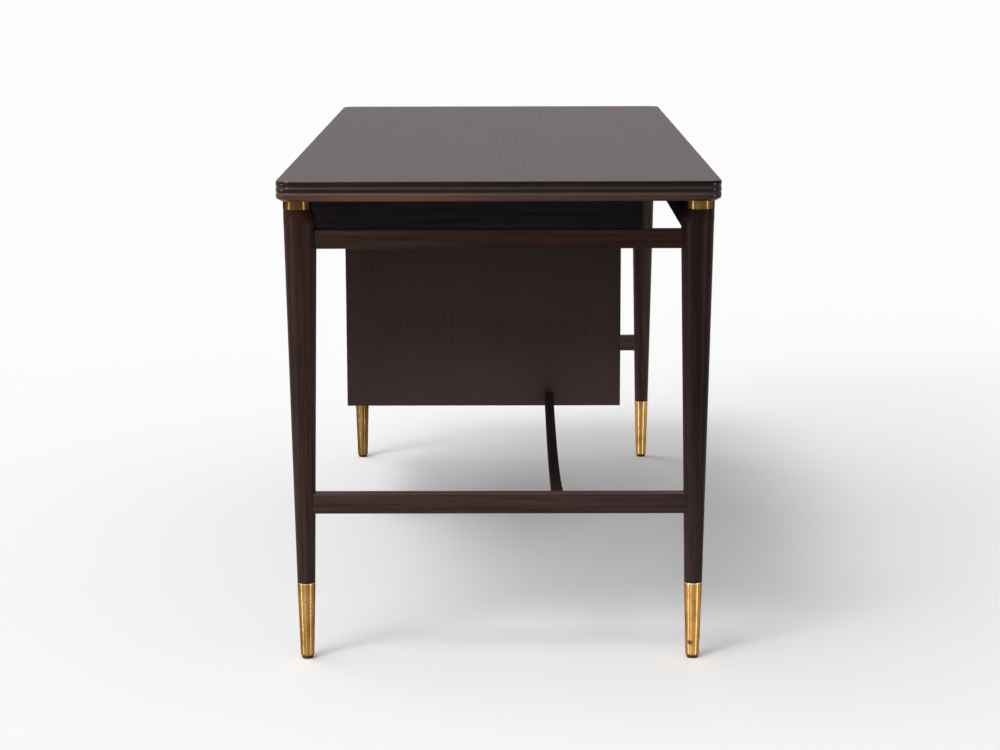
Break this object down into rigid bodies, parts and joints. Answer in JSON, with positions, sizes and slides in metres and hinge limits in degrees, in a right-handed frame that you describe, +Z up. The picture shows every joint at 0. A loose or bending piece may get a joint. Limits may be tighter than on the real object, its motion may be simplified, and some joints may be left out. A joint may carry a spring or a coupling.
{
  "type": "tambour desk",
  "caption": "Dark lacquered writing desk on turned tapered legs with brass feet, with a pedestal closed by sliding tambour leaves, a pencil drawer and a sagging stretcher.",
  "frame": {"origin": "on the floor under the middle of the top", "axes": "+X along the desk from the pedestal end to the open end, +Y from the sitter's side to the back, +Z up"},
  "size_m": [1.524, 0.655, 0.737],
  "materials": {
    "dark_wood": "dark espresso lacquer, glossy",
    "drawer_wood": "oiled secondary wood",
    "brass": "satin, lightly aged",
    "canvas": "coarse brown canvas",
    "glide": "matt dark",
    "steel": "zinc plated"
  },
  "bodies": {
    "frame": {"case_screws": "steel", "case_top_rails": "dark_wood", "collar_front_left": "brass", "collar_front_right": "brass", "collar_rear_left": "brass", "collar_rear_right": "brass", "frieze_back": "dark_wood", "frieze_bottom": "dark_wood", "frieze_end_panel": "dark_wood", "glide_front_left": "glide", "glide_front_right": "glide", "glide_rear_left": "glide", "glide_rear_right": "glide", "leg_front_left": "dark_wood", "leg_front_right": "dark_wood", "leg_rear_left": "dark_wood", "leg_rear_right": "dark_wood", "long_stretcher": "dark_wood", "lower_end_rail_left": "dark_wood", "lower_end_rail_right": "dark_wood", "pedestal_back": "dark_wood", "pedestal_bottom": "dark_wood", "pedestal_divider": "dark_wood", "pedestal_inner_side": "dark_wood", "pedestal_outer_side": "dark_wood", "rear_rail": "dark_wood", "sabot_front_left": "brass", "sabot_front_right": "brass", "sabot_pins": "brass", "sabot_rear_left": "brass", "sabot_rear_right": "brass", "shelf": "dark_wood", "shelf_pins": "brass", "short_stretcher": "dark_wood", "tambour_track_bottom": "dark_wood", "tambour_track_top": "dark_wood", "top_slab": "dark_wood", "upper_end_rail_left": "dark_wood", "upper_end_rail_right": "dark_wood"},
    "tambour_leaf_left": {"cup_pull_left": "brass", "tambour_canvas_left": "canvas", "tambour_slats_left": "dark_wood", "tambour_stile_left": "dark_wood"},
    "tambour_leaf_right": {"cup_pull_right": "brass", "tambour_canvas_right": "canvas", "tambour_slats_right": "dark_wood", "tambour_stile_right": "dark_wood"},
    "pencil_drawer": {"pencil_drawer_back": "drawer_wood", "pencil_drawer_bottom": "drawer_wood", "pencil_drawer_front": "dark_wood", "pencil_drawer_knobs": "brass", "pencil_drawer_side_left": "drawer_wood", "pencil_drawer_side_right": "drawer_wood"},
    "pedestal_drawer": {"pedestal_drawer_back": "drawer_wood", "pedestal_drawer_bottom": "drawer_wood", "pedestal_drawer_front": "dark_wood", "pedestal_drawer_knobs": "brass", "pedestal_drawer_side_left": "drawer_wood", "pedestal_drawer_side_right": "drawer_wood"}
  },
  "joints": [
    {"name": "tambour_left_slide", "type": "slide", "parent": "frame", "child": "tambour_leaf_left", "axis": [1, 0, 0], "range_m": [0, 0.2]},
    {"name": "tambour_right_slide", "type": "slide", "parent": "frame", "child": "tambour_leaf_right", "axis": [-1, 0, 0], "range_m": [0, 0.2]},
    {"name": "pencil_drawer_slide", "type": "slide", "parent": "frame", "child": "pencil_drawer", "axis": [0, -1, 0], "range_m": [0, 0.35]},
    {"name": "pedestal_drawer_slide", "type": "slide", "parent": "frame", "child": "pedestal_drawer", "axis": [0, -1, 0], "range_m": [0, 0.35]}
  ]
}
